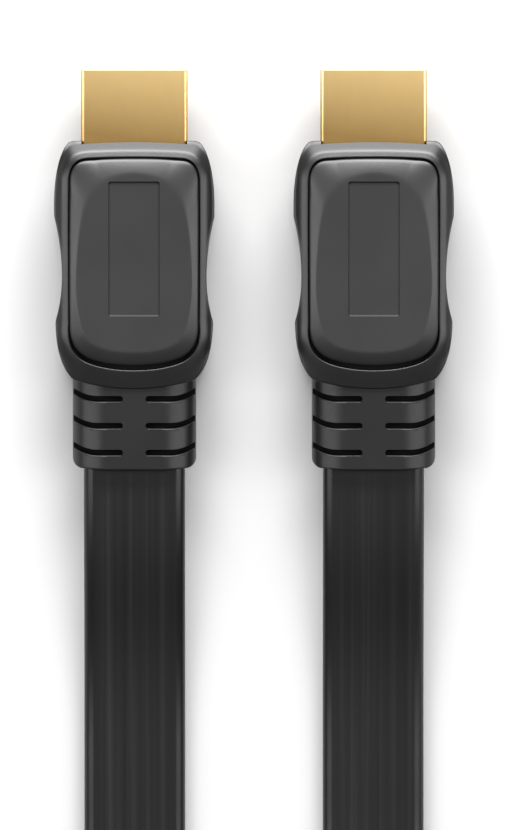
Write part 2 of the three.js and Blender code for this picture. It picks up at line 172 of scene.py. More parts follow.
# Points that the two free stretches of the cable pass through, from each plug to the coil
LEFT_ROUTE = [
    (-15.6, -24.9, 5.25),
    (-15.6, -30, 5.2),
    (-15.6, -36, 4.7),
    (-15.6, -43, 3.45),
    (-15.6, -50, 2.3),
    (-15.6, -57, 1.75),
    (-15.6, -66, 1.7),
    (-15.6, -78, 1.75),
    (-15.6, -90, 3.2),
    (-15.6, -101.5, 5.8),
    (-15.6, -113, 7.3),
    (-15.6, -127, 7.6),
    (-15.6, -142.5, 7.6),
    (-16.5, -150.8, 7.6),
    (-18.95, -158.5, 7.6),
]
LEFT_TWIST = (52, 100)
RIGHT_ROUTE = [
    (15.6, -24.9, 5.25),
    (15.6, -30, 5.2),
    (15.6, -36, 4.7),
    (15.6, -43, 3.45),
    (15.6, -50, 2.3),
    (15.6, -57, 1.75),
    (15.6, -66, 1.7),
    (15.6, -76, 1.75),
    (15.6, -85.5, 3.1),
    (15.6, -95, 5.8),
    (15.6, -104, 7.3),
    (15.6, -111.5, 7.6),
    (14.3, -120.3, 7.6),
    (10.5, -128.3, 7.6),
    (4.1, -135.1, 7.6),
]
RIGHT_TWIST = (50, 88)

# Colours: a darker and a lighter tone, a bright and a deep one, or tones along a ramp
CHARCOAL = ((0.0045, 0.0045, 0.0048), (0.0065, 0.0065, 0.0068))
CAP_GREY = ((0.0135, 0.0135, 0.0138), (0.0160, 0.0160, 0.0163))
RELIEF_BLACK = ((0.0028, 0.0028, 0.0030), (0.0042, 0.0042, 0.0044))
INSULATOR_BLACK = ((0.006, 0.006, 0.006), (0.010, 0.010, 0.010))
# Painted shade: the near black that the plastics turn to deep in gaps and slots
GAP_PAINTED_SHADE = (0.001, 0.001, 0.001, 1)
# Shell gold: its bright tone at the tip, and a deep tone that is painted shade towards the housing
SHELL_GOLD_AND_PAINTED_SHADE = ((0.90, 0.63, 0.275), (0.41, 0.255, 0.09))
CONTACT_GOLD = ((0.95, 0.70, 0.28), (0.95, 0.70, 0.28))
JACKET_BLACK = [
    (0.3, (0.0012, 0.0012, 0.0015)),
    (0.5, (0.003, 0.003, 0.0033)),
    (0.7, (0.0095, 0.0095, 0.010)),
]
WEBBING_GREY = [(0.3, (0.008, 0.008, 0.009)), (0.75, (0.03, 0.03, 0.032))]
FLOOR_GREY = (0.54, 0.54, 0.54, 1)

# Camera, floor and lights, in metres and watts. The camera's sensor is in millimetres. A light has its name,
# its place, the point that it faces, its width and height, and its power.
CAMERA_Y = -0.0188
CAMERA_HEIGHT = 1.2
VIEW_HEIGHT = 0.10836
SENSOR = 36
FLOOR_REACH = 3
WORLD_STRENGTH = 0.15
LIGHT_AIM = (0, -0.02, 0)
LIGHTS = [
    ("front_strip", (0, 1.08, 0.76), LIGHT_AIM, (1.3, 0.42), 40),
    ("front_panel", (0, 1.3, 0.36), LIGHT_AIM, (1.6, 0.5), 19),
    ("left_strip", (-0.88, 0.05, 0.82), LIGHT_AIM, (0.28, 1.2), 6),
    ("right_strip", (0.88, 0.05, 0.82), LIGHT_AIM, (0.28, 1.2), 6),
    ("overhead", (0, 0, 2.2), (0, 0, 0), (2.0, 2.0), 7),
]


# Small sums

def smoothstep(value, low, high):
    t = min(1.0, max(0.0, (value - low) / (high - low)))
    return t * t * (3 - 2 * t)


def mix(a, b, t):
    return a + (b - a) * t


def ahead(facing):
    """From 0, where an outline faces sideways or back, to 1, where it faces forward."""
    return smoothstep(facing, *FACING_BLEND)


# Curves in plan, as lists of points

def quadratic(start, control, end, count=24):
    points = []
    for i in range(1, count + 1):
        t = i / count
        points.append(tuple(
            (1 - t) ** 2 * a + 2 * t * (1 - t) * c + t * t * b for a, c, b in zip(start, control, end)
        ))
    return points


def cubic(start, first, second, end, count=32):
    points = []
    for i in range(1, count + 1):
        t = i / count
        points.append(tuple(
            (1 - t) ** 3 * a + 3 * t * (1 - t) ** 2 * b + 3 * t * t * (1 - t) * c + t ** 3 * d
            for a, b, c, d in zip(start, first, second, end)
        ))
    return points


def resampled(points, count):
    """The open polyline again, as count points at even steps along it."""
    lengths = [0.0]
    for a, b in zip(points, points[1:]):
        lengths.append(lengths[-1] + math.dist(a, b))
    result = []
    k = 0
    for i in range(count):
        target = lengths[-1] * i / (count - 1)
        while k < len(lengths) - 2 and lengths[k + 1] < target:
            k += 1
        t = (target - lengths[k]) / max(1e-12, lengths[k + 1] - lengths[k])
        result.append(tuple(mix(a, b, t) for a, b in zip(points[k], points[k + 1])))
    return result


def mirrored(right):
    """A closed loop from its right half, which runs from the front middle to the rear middle."""
    return right + [(-x, y) for x, y in reversed(right[1:-1])]


def housing_loop():
    """The housing's outline in plan, waisted, with a swell at each end."""
    side = [(0, HOUSING_FRONT + 0.02), (8.0, HOUSING_FRONT)]
    side += quadratic(side[-1], (8.45, HOUSING_FRONT - 0.02), (8.75, HOUSING_FRONT - 0.42), 8)
    side += cubic(side[-1], (9.6, 15.45), (10.44, 12.9), (10.44, 8.6))
    side += [(10.43, 7.2)]
    side += quadratic(side[-1], (10.42, 6.95), (10.34, 6.7), 6)
    side += quadratic(side[-1], (9.4, 2.9), (9.4, -0.8))
    side += quadratic(side[-1], (9.4, -3.6), (10.14, -6.2))
    side += quadratic(side[-1], (10.27, -6.6), (10.25, -6.95), 6)
    side += quadratic(side[-1], (10.12, -12.1), (7.95, -14.2))
    side += quadratic(side[-1], (4.2, HOUSING_REAR), (0, HOUSING_REAR))
    return mirrored(resampled(side, HOUSING_LOOP_POINTS))


def cap_loop(grow=0.0, rear_grow=None, count=CAP_LOOP_POINTS):
    """The cap's outline in plan, grown evenly, and further at the rear where rear_grow is given."""
    side = [(0, 14.58)]
    side += quadratic(side[-1], (4.2, 14.58), (6.3, 14.4))
    side += quadratic(side[-1], (8.2, 14.2), (8.4, 11.9))
    side += quadratic(side[-1], (8.46, 9.0), (8.42, 4.0))
    side += [(8.36, -7.6)]
    side += quadratic(side[-1], (8.25, -10.6), (5.6, -11.55))
    side += quadratic(side[-1], (3.27, -12.38), (0, -12.38))
    loop = mirrored(resampled(side, count))
    grown = []
    for point, normal in zip(loop, normals_of(loop)):
        reach = grow if rear_grow is None else mix(grow, rear_grow, smoothstep(-point[1], *POCKET_REAR))
        grown.append((point[0] + normal[0] * reach, point[1] + normal[1] * reach))
    return grown


def crown_loop():
    """Edge of the cap's raised middle."""
    side = [(0, 12.5)]
    side += quadratic(side[-1], (4.3, 12.3), (6.1, 9.1))
    side += quadratic(side[-1], (7.3, 6.6), (7.52, -0.8))
    side += quadratic(side[-1], (7.6, -5.0), (6.5, -8.0))
    side += quadratic(side[-1], (5.5, -10.6), (0, -10.6))
    return mirrored(resampled(side, CAP_LOOP_POINTS))


def normals_of(loop):
    """Outward normals of a closed loop that runs clockwise seen from above."""
    normals = []
    for i in range(len(loop)):
        before = loop[i - 1]
        after = loop[(i + 1) % len(loop)]
        along = Vector((after[0] - before[0], after[1] - before[1])).normalized()
        normals.append((-along.y, along.x))
    return normals


def cast_out(origin, direction, loop):
    """Where a ray from inside first meets the loop."""
    best = None
    for a, b in zip(loop, loop[1:] + loop[:1]):
        edge = (b[0] - a[0], b[1] - a[1])
        denominator = direction[0] * edge[1] - direction[1] * edge[0]
        if abs(denominator) < 1e-12:
            continue
        gap = (a[0] - origin[0], a[1] - origin[1])
        reach = (gap[0] * edge[1] - gap[1] * edge[0]) / denominator
        share = (gap[0] * direction[1] - gap[1] * direction[0]) / denominator
        if reach > 0 and -1e-6 <= share <= 1 + 1e-6 and (best is None or reach < best):
            best = reach
    return (origin[0] + direction[0] * best, origin[1] + direction[1] * best)


# Meshes

def new_object(name, mesh):
    piece = bpy.data.objects.new(name, mesh)
    bpy.context.scene.collection.objects.link(piece)
    return piece


def loft(name, rings, offset=(0, 0, 0), closed=False):
    """A closed mesh through loops of the same number of points, with flat ends unless it closes on itself."""
    work = bmesh.new()
    shift = Vector(offset)
    rows = [[work.verts.new((Vector(point) + shift) * MM) for point in ring] for ring in rings]
    pairs = list(zip(rows, rows[1:]))
    if closed:
        pairs.append((rows[-1], rows[0]))
    for lower, upper in pairs:
        for i in range(len(lower)):
            j = (i + 1) % len(lower)
            work.faces.new((lower[i], lower[j], upper[j], upper[i]))
    if not closed:
        work.faces.new(list(reversed(rows[0])))
        work.faces.new(rows[-1])
    bmesh.ops.recalc_face_normals(work, faces=work.faces)
    mesh = bpy.data.meshes.new(name)
    work.to_mesh(mesh)
    work.free()
    return new_object(name, mesh)


def smooth(piece, angle=35):
    """Smooth shading, kept sharp at strong angles, with the large faces left flat."""
    piece.data.shade_smooth()
    piece.data.set_sharp_from_angle(angle=math.radians(angle))
    weighted = piece.modifiers.new("normals", "WEIGHTED_NORMAL")
    weighted.keep_sharp = True
    apply_modifiers(piece)


def apply_modifiers(piece):
    depsgraph = bpy.context.evaluated_depsgraph_get()
    shaped = bpy.data.meshes.new_from_object(piece.evaluated_get(depsgraph))
    piece.modifiers.clear()
    old = piece.data
    piece.data = shaped
    bpy.data.meshes.remove(old)
    shaped.name = piece.name


def carve(piece, cutters):
    """Cut the cutters out of a piece, and delete them."""
    for cutter in cutters:
        cut = piece.modifiers.new("cut", "BOOLEAN")
        cut.object = cutter
        cut.operation = "DIFFERENCE"
        cut.solver = "EXACT"
    apply_modifiers(piece)
    for cutter in cutters:
        bpy.data.objects.remove(cutter)


def section_loop(corners, radius, count=8):
    """A rounded outline through corners, as (x, z) points."""
    points = []
    for i, corner in enumerate(corners):
        before = Vector(corners[i - 1]) - Vector(corner)
        after = Vector(corners[(i + 1) % len(corners)]) - Vector(corner)
        setback = radius / math.tan(before.angle(after) / 2)
        start = Vector(corner) + before.normalized() * setback
        end = Vector(corner) + after.normalized() * setback
        normal_sum = before.normalized() + after.normalized()
        centre = Vector(corner) + normal_sum.normalized() * math.hypot(setback, radius)
        for k in range(count + 1):
            t = k / count
            chord = start.lerp(end, t) - centre
            points.append(tuple(centre + chord.normalized() * radius))
    return points


def offset_corners(corners, distance):
    """Corners of a convex clockwise outline, every edge moved outwards."""
    result = []
    for i, corner in enumerate(corners):
        before = (Vector(corner) - Vector(corners[i - 1])).normalized()
        after = (Vector(corners[(i + 1) % len(corners)]) - Vector(corner)).normalized()
        n1 = Vector((-before.y, before.x))
        n2 = Vector((-after.y, after.x))
        result.append(tuple(Vector(corner) + (n1 + n2) * distance / (1 + n1.dot(n2))))
    return result


def shell_loop(distance):
    half = SHELL_WIDTH / 2
    top = SHELL_HEIGHT / 2
    right = [(half, top), (half, top - SHELL_SIDE), (SHELL_BOTTOM / 2, -top)]
    corners = right + [(-x, z) for x, z in reversed(right)]
    return section_loop(offset_corners(corners, distance), max(0.1, SHELL_CORNER + distance))


def relief_loop(wider=0.0, thicker=0.0, count=40):
    """Strain relief's section, flat with elliptical sides, as (x, z) points."""
    reach = RELIEF_HALF_WIDTH + wider - RELIEF_FLAT_HALF
    height = RELIEF_HALF_THICKNESS + thicker
    points = []
    for side in (1, -1):
        for k in range(count + 1):
            angle = math.pi / 2 - math.pi * k / count
            x = RELIEF_FLAT_HALF + reach * math.cos(angle)
            points.append((side * x, side * height * math.sin(angle)))
    return points


def along_y(loop, y):
    return [(x, y, z) for x, z in loop]


def at_height(loop, z):
    return [(x, y, z) for x, y in loop]


# Housing

def rim_height(out, facing):
    """Height of the rim at a distance out from the pocket's lip. It faces forward (1), sideways or back."""
    front = ahead(facing)
    slope = mix(RIM_SIDE_TILT, RIM_FRONT_TILT, front)
    slope = mix(slope, RIM_REAR_TILT, ahead(-facing))
    band = math.tan(math.radians(mix(*RIM_BAND_TILT, front)))
    past = math.tan(math.radians(slope))
    start, end = (mix(a, b, front) for a, b in zip(RIM_SIDE_CREASE, RIM_FRONT_CREASE))
    t = min(1.0, max(0.0, (out - start) / (end - start)))
    turned = (end - start) * (t ** 3 - t ** 4 / 2) + max(0.0, out - end)
    return RIM_Z - band * out - (past - band) * turned


def make_housing(side):
    outer = housing_loop()
    edge = cap_loop(grow=POCKET_GAP, rear_grow=POCKET_REAR_GAP, count=POCKET_LOOP_POINTS)
    normals = normals_of(edge)
    columns = []
    for point, normal in zip(edge, normals):
        silhouette = cast_out(point, normal, outer)
        columns.append(rim_column(point, normal, math.dist(point, silhouette)))
    upper = [list(ring) for ring in zip(*columns)]
    lower = [[(x, y, -z) for x, y, z in ring] for ring in reversed(upper)]
    offset = (PLUG_X[side], 0, MID_Z)
    housing = loft(f"{side}_housing_body", upper + lower, offset)
    shell_section = shell_loop(SHELL_CLEARANCE)
    shell_way = [along_y(shell_section, y) for y in (HOUSING_FRONT + 2, SHELL_REAR - 0.2)]
    relief_section = relief_loop(*RELIEF_CLEARANCE)
    relief_way = [along_y(relief_section, y) for y in (RELIEF_FRONT + 0.15, RELIEF_WAY_REAR)]
    ways = [loft("cutter", way, offset) for way in (shell_way, relief_way)]
    carve(housing, [make_front_notch(side)] + ways)
    wider = cap_loop(grow=POCKET_GAP + POCKET_WALL, rear_grow=POCKET_REAR_GAP + POCKET_WALL)

    # Painted shade: points down the gap round the cap are darkened by how far below the rim they lie
    def painted_shade_depth(x, y, z):
        between = POCKET_FLOOR_Z - PAINTED_SHADE_MARGIN < z < RIM_Z - PAINTED_SHADE_MARGIN
        return RIM_Z - z if between and inside((x, y), wider) else 0.0

    mark_depth(housing, side, painted_shade_depth)
    smooth(housing)
    return housing


def make_front_notch(side):
    """The shallow arched hollow in the housing's front that the shell comes out of."""
    half = NOTCH_HALF_WIDTH
    top = (0, 2 * NOTCH_MIDDLE_Y - NOTCH_SIDE_Y)
    loop = [(-half, HOUSING_FRONT + 1), (-half, NOTCH_SIDE_Y)]
    loop += quadratic(loop[-1], top, (half, NOTCH_SIDE_Y))
    loop += [(half, HOUSING_FRONT + 1)]
    return loft("cutter", [at_height(loop, z) for z in (-RIM_Z, RIM_Z)], (PLUG_X[side], 0, MID_Z))


def rim_column(point, normal, reach):
    """Points from the pocket's floor over the rim to the silhouette, along one outward line."""
    facing = normal[1]
    lip = mix(*RIM_LIP, ahead(-facing))
    quarter = [math.pi / 2 * k / 4 for k in (1, 2, 3, 4)]
    profile = [(0.0, POCKET_FLOOR_Z), (0.0, RIM_Z - lip)]
    for angle in quarter:
        profile.append((lip * (1 - math.cos(angle)), RIM_Z - lip + lip * math.sin(angle)))
    end = reach - SILHOUETTE_ROUND
    near = min(1.0, (end - lip) / RIM_FULL_OUT)
    for out in RIM_OUTS:
        profile.append((lip + out * near, rim_height(out * near, facing)))
    begun = profile[-1][0]
    for k in (1, 2, 3):
        out = mix(begun, end, k / 3)
        profile.append((out, rim_height(out - lip, facing)))
    top = rim_height(end - lip, facing)
    for angle in quarter:
        drop = SILHOUETTE_ROUND * (1 - math.cos(angle)) * SILHOUETTE_DROP
        profile.append((end + SILHOUETTE_ROUND * math.sin(angle), top - drop))
    profile.append((reach, top - SIDE_WALL))
    return [(point[0] + normal[0] * out, point[1] + normal[1] * out, z) for out, z in profile]


def inside(point, loop):
    """Whether a point lies inside a closed loop."""
    x, y = point
    found = False
    for (ax, ay), (bx, by) in zip(loop, loop[1:] + loop[:1]):
        if (ay > y) != (by > y) and x < (bx - ax) * (y - ay) / (by - ay) + ax:
            found = not found
    return found


def mark_depth(piece, side, depth_at):
    """Give each point how far it lies down a gap, in millimetres, for the material to paint shade there."""
    depths = []
    for vertex in piece.data.vertices:
        x, y, z = (c / MM for c in vertex.co)
        depths.append(depth_at(x - PLUG_X[side], y, abs(z - MID_Z)))
    layer = piece.data.attributes.new("painted_shade_depth", "FLOAT", "POINT")
    layer.data.foreach_set("value", depths)


# Caps

def make_cap(side, face):
    edge = cap_loop()
    crown = crown_loop()
    columns = [cap_column(a, b) for a, b in zip(edge, crown)]
    up = 1 if face == "top" else -1
    rings = [[(x, y, up * z) for x, y, z in ring] for ring in zip(*columns)]
    cap = loft(f"{side}_{face}_cap_body", rings, (PLUG_X[side], 0, MID_Z))
    if face == "top":
        carve(cap, [make_label_cutter(side)])
    # Painted shade: the cap's sides darken by how far below that height they lie
    mark_depth(cap, side, lambda x, y, z: max(0.0, CAP_PAINTED_SHADE_BELOW - z))
    smooth(cap, 30)
    return cap


def cap_column(edge, crown):
    """Points from the pocket's floor up the cap's side, round its edge and up to the raised middle."""
    width = math.dist(edge, crown)
    rise = min(CAP_MOST_RISE, CAP_BORDER_SLOPE * width)
    inward = ((crown[0] - edge[0]) / width, (crown[1] - edge[1]) / width)
    low = CAP_TOP_Z - rise
    turn = math.radians(CAP_EDGE_TURN)
    profile = [(0.0, POCKET_FLOOR_Z), (0.0, POCKET_FLOOR_Z + CAP_WALL)]
    for k in range(CAP_EDGE_STEPS + 1):
        angle = turn * k / CAP_EDGE_STEPS
        below = CAP_EDGE_ROUND * (math.sin(turn) - math.sin(angle))
        profile.append((CAP_EDGE_ROUND * (1 - math.cos(angle)), low - below))
    begun = profile[-1][0]
    far = width * CAP_CREASE[1]
    for k in range(1, BORDER_STEPS + 1):
        share = k / BORDER_STEPS
        profile.append((mix(begun, far, share), mix(low, CAP_TOP_Z, border_rise(share))))
    return [(edge[0] + inward[0] * x, edge[1] + inward[1] * x, z) for x, z in profile]


def border_slope(share):
    """Slope up the cap's border, steepest at its edge, and easing out where the flat middle begins."""
    along = share * CAP_CREASE[1]
    edge = BORDER_EDGE_SLOPE * (1 - smoothstep(along, 0.0, BORDER_EDGE_REACH))
    return (mix(*BORDER_SLOPES, min(1.0, along)) + edge) * (1 - smoothstep(along, *CAP_CREASE))


def border_rise(share):
    """Height up the cap's border, from 0 to 1."""
    steps = 2 * BORDER_STEPS
    whole = sum(border_slope((k + 0.5) / steps) for k in range(steps))
    part = share * steps
    full = sum(border_slope((k + 0.5) / steps) for k in range(int(part)))
    rest = (part - int(part)) * border_slope(min(1.0, (int(part) + 0.5) / steps))
    return (full + rest) / whole


def make_label_cutter(side):
    """The label field's hollow: steep sides that open a little, and a sloping lip at the rear."""
    half = LABEL_HALF_WIDTH
    floor = CAP_TOP_Z - LABEL_SINK
    levels = [
        (0, 0, floor),
        (0.04, 0.02, floor + 0.04),
        (LABEL_LIP, LABEL_FLARE, CAP_TOP_Z),
        (LABEL_LIP, LABEL_FLARE, CAP_TOP_Z + 0.75),
    ]
    rings = []
    for lip, flare, z in levels:
        corners = [
            (half + flare, LABEL_FRONT + flare), (half + flare, LABEL_REAR - lip),
            (-half - flare, LABEL_REAR - lip), (-half - flare, LABEL_FRONT + flare),
        ]
        rings.append(at_height(section_loop(corners, LABEL_CORNER, 6), z))
    return loft("cutter", rings, (PLUG_X[side], 0, MID_Z))


# Strain relief

def past_flat(x):
    """From 0 on the relief's flat middle to 1 at its side."""
    return max(0.0, abs(x) - RELIEF_FLAT_HALF) / (RELIEF_HALF_WIDTH - RELIEF_FLAT_HALF)


def relief_surface_z(x):
    return RELIEF_HALF_THICKNESS * math.sqrt(max(0.0, 1 - past_flat(x) ** 2))


def make_slot_cutter(side, slot_y, hand, face):
    """A slot that follows the relief's surface, with a small lip on its rear edge."""
    steps = SLOT_END_STEPS
    rounded = [SLOT_HALF_WIDTH * (1 - math.cos(math.pi / 2 * k / steps)) for k in range(steps + 1)]
    xs = [SLOT_INNER_X + x for x in rounded]
    straight = (SLOT_INNER_X + SLOT_HALF_WIDTH, RELIEF_HALF_WIDTH - SLOT_EDGE_GAP)
    xs += [mix(*straight, k / 24) for k in range(1, 25)]
    levels = [
        (0.0, None),
        (0.0, -SLOT_LIP),
        (SLOT_LIP * 0.35, -SLOT_LIP * 0.4),
        (SLOT_LIP, 0.02),
        (SLOT_LIP, 1.2),
    ]
    rings = []
    for flare, rise in levels:
        front = []
        rear = []
        for k, x in enumerate(xs):
            end = min(1.0, k / steps)
            half = max(0.02, SLOT_HALF_WIDTH * math.sin(math.pi / 2 * end))
            bend = SLOT_RISE * (max(0.0, x - SLOT_STRAIGHT_TO) / (RELIEF_HALF_WIDTH - SLOT_STRAIGHT_TO)) ** 2
            shifted = x - 0.3 * flare * (1 - end)
            surface = relief_surface_z(x)
            floor = min(SLOT_FLOOR_Z, surface * 0.4)
            z = floor if rise is None else max(floor + 0.1 + flare, surface + rise)
            front.append((hand * shifted, slot_y + bend + half + 0.15 * flare, face * z))
            rear.append((hand * shifted, slot_y + bend - half - flare, face * z))
        rings.append(front + list(reversed(rear)))
    return loft("cutter", rings, (PLUG_X[side], 0, MID_Z))


def make_relief(side):
    begun = RELIEF_FRONT - RELIEF_LEAD_IN
    rear = PLUG_REAR + RELIEF_END_ROUND
    rings = [along_y(relief_loop(-RELIEF_LEAD_IN, -RELIEF_LEAD_IN), RELIEF_FRONT)]
    rings += [along_y(relief_loop(), mix(begun, rear, k / RELIEF_ROWS)) for k in range(RELIEF_ROWS)]
    for k in range(RELIEF_END_STEPS + 1):
        share = k / RELIEF_END_STEPS
        angle = math.pi / 2 * share
        y = rear - RELIEF_END_ROUND * math.sin(angle)
        widest = RELIEF_HALF_WIDTH - RELIEF_END_IN * (1 - math.cos(angle))
        loop = relief_loop(0, -RELIEF_THINNING * max(0.0, share - RELIEF_THINS_FROM) ** 2)
        bow = RELIEF_END_BOW * share
        rings.append([
            (max(-widest, min(widest, x)), y + bow * min(1.0, abs(x) / (CABLE_WIDTH / 2)) ** 2, z)
            for x, z in loop
        ])
    relief = loft(f"{side}_relief_body", rings, (PLUG_X[side], 0, MID_Z))
    cutters = [
        make_slot_cutter(side, slot_y, hand, face)
        for slot_y in SLOT_YS for hand in (1, -1) for face in (1, -1)
    ]
    carve(relief, cutters)

    # Painted shade: points down the slots darken by how far they lie below the relief's surface
    def painted_shade_depth(x, y, z):
        within = math.hypot(past_flat(x) * RELIEF_HALF_THICKNESS, z)
        return RELIEF_HALF_THICKNESS - within if SLOTTED_Y[0] < y < SLOTTED_Y[1] else 0.0

    mark_depth(relief, side, painted_shade_depth)
    smooth(relief, 40)
    return relief


# Shell

def make_shell(side):
    """The plug shell, a tube open at both ends, with a rounded edge at its tip."""
    lip = 0.1
    outer_rings = [
        along_y(shell_loop(0), SHELL_REAR),
        along_y(shell_loop(0), TIP_Y - lip),
        along_y(shell_loop(-lip * 0.3), TIP_Y - lip * 0.3),
        along_y(shell_loop(-lip), TIP_Y),
    ]
    inner_rings = [
        along_y(shell_loop(-SHELL_WALL + lip * 0.6), TIP_Y),
        along_y(shell_loop(-SHELL_WALL), TIP_Y - lip),
        along_y(shell_loop(-SHELL_WALL), SHELL_REAR),
    ]
    shell = loft(f"{side}_shell_body", outer_rings + inner_rings, (PLUG_X[side], 0, MID_Z), closed=True)
    smooth(shell, 40)
    return shell


# Cable

def catmull_rom(points, steps=24):
    """Points of a centripetal spline through the given ones."""
    ends = [tuple(2 * a - b for a, b in zip(points[0], points[1]))]
    ends.append(tuple(2 * a - b for a, b in zip(points[-1], points[-2])))
    padded = [ends[0]] + list(points) + [ends[1]]
    curve = []
    for k in range(1, len(padded) - 2):
        p = [Vector(q) for q in padded[k - 1:k + 3]]
        knots = [0.0]
        for a, b in zip(p, p[1:]):
            knots.append(knots[-1] + math.sqrt((b - a).length))
        for i in range(steps):
            t = mix(knots[1], knots[2], i / steps)
            first = [
                p[j].lerp(p[j + 1], (t - knots[j]) / (knots[j + 1] - knots[j])) for j in range(3)
            ]
            second = [
                first[j].lerp(first[j + 1], (t - knots[j]) / (knots[j + 2] - knots[j])) for j in range(2)
            ]
            curve.append(tuple(second[0].lerp(second[1], (t - knots[1]) / (knots[2] - knots[1]))))
    curve.append(tuple(points[-1]))
    return curve


def tied(radius, angle):
    """Radius of a strand once the ties have drawn the strands together."""
    for tie in TIE_ANGLES:
        offset = abs((angle - tie + 180) % 360 - 180)
        hold = 1 - smoothstep(offset, TIE_HOLD, TIE_SPREAD)
        middle = tied_radius(angle)
        radius = mix(radius, middle + (radius - middle) * TIED_PITCH / STRAND_PITCH, hold)
    return radius


def tied_radius(angle):
    """Radius of the middle strand of three at an angle."""
    turns = ((angle - LEFT_LEAVES_AT) % 360) / 360
    return COIL_OUTER - 2 * STRAND_PITCH * turns - STRAND_PITCH


def coil_point(radius, angle):
    drawn = tied(radius, angle)
    a = math.radians(angle)
    return (COIL_CENTRE[0] + drawn * math.cos(a), COIL_CENTRE[1] + drawn * math.sin(a), STRAND_Z)


def arm(leaves_at, outer_radius):
    """One strand of the double spiral, from where it enters the coil to the coil's bore."""
    turns = (outer_radius - COIL_INNER) / (2 * STRAND_PITCH)
    steps = int(turns * 180)
    points = []
    for i in range(steps + 1):
        t = turns * i / steps
        points.append(coil_point(outer_radius - 2 * STRAND_PITCH * t, leaves_at + 360 * t))
    return points, leaves_at + 360 * turns


def middle_bend(start_angle):
    """The S of two half circles that joins the two strands across the bore."""
    start = math.radians(start_angle)
    r = COIL_INNER / 2
    first = []
    for i in range(1, 61):
        angle = start + math.pi * i / 60
        x = r * (math.cos(start) + math.cos(angle))
        y = r * (math.sin(start) + math.sin(angle))
        first.append((COIL_CENTRE[0] + x, COIL_CENTRE[1] + y, STRAND_Z))
    second = [(2 * COIL_CENTRE[0] - x, 2 * COIL_CENTRE[1] - y, z) for x, y, z in reversed(first[:-1])]
    return first + second


def cable_line():
    """Centreline from the left plug through the coil to the right plug, at even steps, with its roll."""
    left = catmull_rom(LEFT_ROUTE)
    right = catmull_rom(RIGHT_ROUTE)
    right_radius = COIL_OUTER - STRAND_PITCH + 2 * STRAND_PITCH * (LEFT_LEAVES_AT - RIGHT_LEAVES_AT) / 360
    left_arm, inner_angle = arm(LEFT_LEAVES_AT, COIL_OUTER)
    right_arm, _ = arm(RIGHT_LEAVES_AT, right_radius)
    line = left[:-1] + left_arm + middle_bend(inner_angle)
    line += list(reversed(right_arm)) + list(reversed(right[:-1]))
    length = sum(math.dist(a, b) for a, b in zip(line, line[1:]))
    count = int(length / CABLE_STEP)
    line = resampled(line, count)
    for _ in range(CABLE_SMOOTHINGS):
        line = line[:2] + [
            tuple((a + 2 * b + c) / 4 for a, b, c in zip(line[i - 1], line[i], line[i + 1]))
            for i in range(2, len(line) - 2)
        ] + line[-2:]
    step = length / (count - 1)
    rolls = []
    for i in range(count):
        from_left = i * step
        from_right = (count - 1 - i) * step
        turn = min(smoothstep(from_left, *LEFT_TWIST), smoothstep(from_right, *RIGHT_TWIST))
        rolls.append(math.pi / 2 * turn)
    return line, rolls, step


def cable_section(count=7):
    half = CABLE_WIDTH / 2
    top = CABLE_THICKNESS / 2
    corners = [(half, top), (half, -top), (-half, -top), (-half, top)]
    return section_loop(corners, CABLE_CORNER, count)


def make_cable():
    """The cable's mesh, and the points in metres that it follows."""
    line, rolls, step = cable_line()
    section = cable_section()
    rings = []
    for i, (point, roll) in enumerate(zip(line, rolls)):
        before = Vector(line[max(0, i - 1)])
        after = Vector(line[min(len(line) - 1, i + 1)])
        along = (after - before).normalized()
        side = Vector((0, 0, 1)).cross(along).normalized()
        lift = along.cross(side)
        across = side * math.cos(roll) + lift * math.sin(roll)
        normal = lift * math.cos(roll) - side * math.sin(roll)
        rings.append([tuple(Vector(point) + across * x + normal * z) for x, z in section])
    cable = loft("flat_cable", rings)
    add_cable_uv(cable, section, len(rings), step)
    smooth(cable, 60)
    return cable, [tuple(c * MM for c in point) for point in line]


def add_cable_uv(cable, section, ring_count, step):
    """UV in metres: u round the section from one edge, v along the cable."""
    around = [0.0]
    for a, b in zip(section, section[1:]):
        around.append(around[-1] + math.dist(a, b))
    layer = cable.data.uv_layers.new(name="run")
    per_ring = len(section)
    for polygon in cable.data.polygons:
        for loop_index in polygon.loop_indices:
            vertex = cable.data.loops[loop_index].vertex_index
            ring, place = divmod(vertex, per_ring)
            layer.data[loop_index].uv = (around[place] * MM, ring * step * MM)


# Ties

def make_tie(index, angle):
    """A woven strap wound once round the strands, its end lapped over its start."""
    half_x = (TIED_PITCH * 2 + CABLE_THICKNESS) / 2 + TIE_CLEARANCE
    half_z = CABLE_WIDTH / 2 + TIE_CLEARANCE
    corners = [(half_x, half_z), (half_x, -half_z), (-half_x, -half_z), (-half_x, half_z)]
    inner = section_loop(corners, TIE_CORNER, 6)
    outer = section_loop(offset_corners(corners, TIE_THICKNESS), TIE_CORNER + TIE_THICKNESS, 6)
    within = blend_loops(inner, outer, 0.3)
    without = blend_loops(inner, outer, 0.7)
    half_width = TIE_WIDTH / 2
    flat = half_width - TIE_EDGE
    rings = [
        along_y(inner, flat),
        along_y(inner, -flat),
        along_y(within, -half_width),
        along_y(without, -half_width),
        along_y(outer, -flat),
        along_y(outer, flat),
        along_y(without, half_width),
        along_y(within, half_width),
    ]
    tie = loft(f"strap_{index}", rings, closed=True)
    lap = make_lap(index, offset_corners(corners, TIE_THICKNESS), half_width)
    turn = Matrix.Rotation(math.radians(angle), 4, "Z")
    a = math.radians(angle)
    radius = tied_radius(angle)
    place = Matrix.Translation(Vector((
        COIL_CENTRE[0] + radius * math.cos(a), COIL_CENTRE[1] + radius * math.sin(a), STRAND_Z,
    )) * MM)
    for piece in (tie, lap):
        piece.data.transform(place @ turn)
        smooth(piece, 40)
    return tie, lap


def blend_loops(first, second, share):
    return [tuple(mix(p, q, share) for p, q in zip(a, b)) for a, b in zip(first, second)]


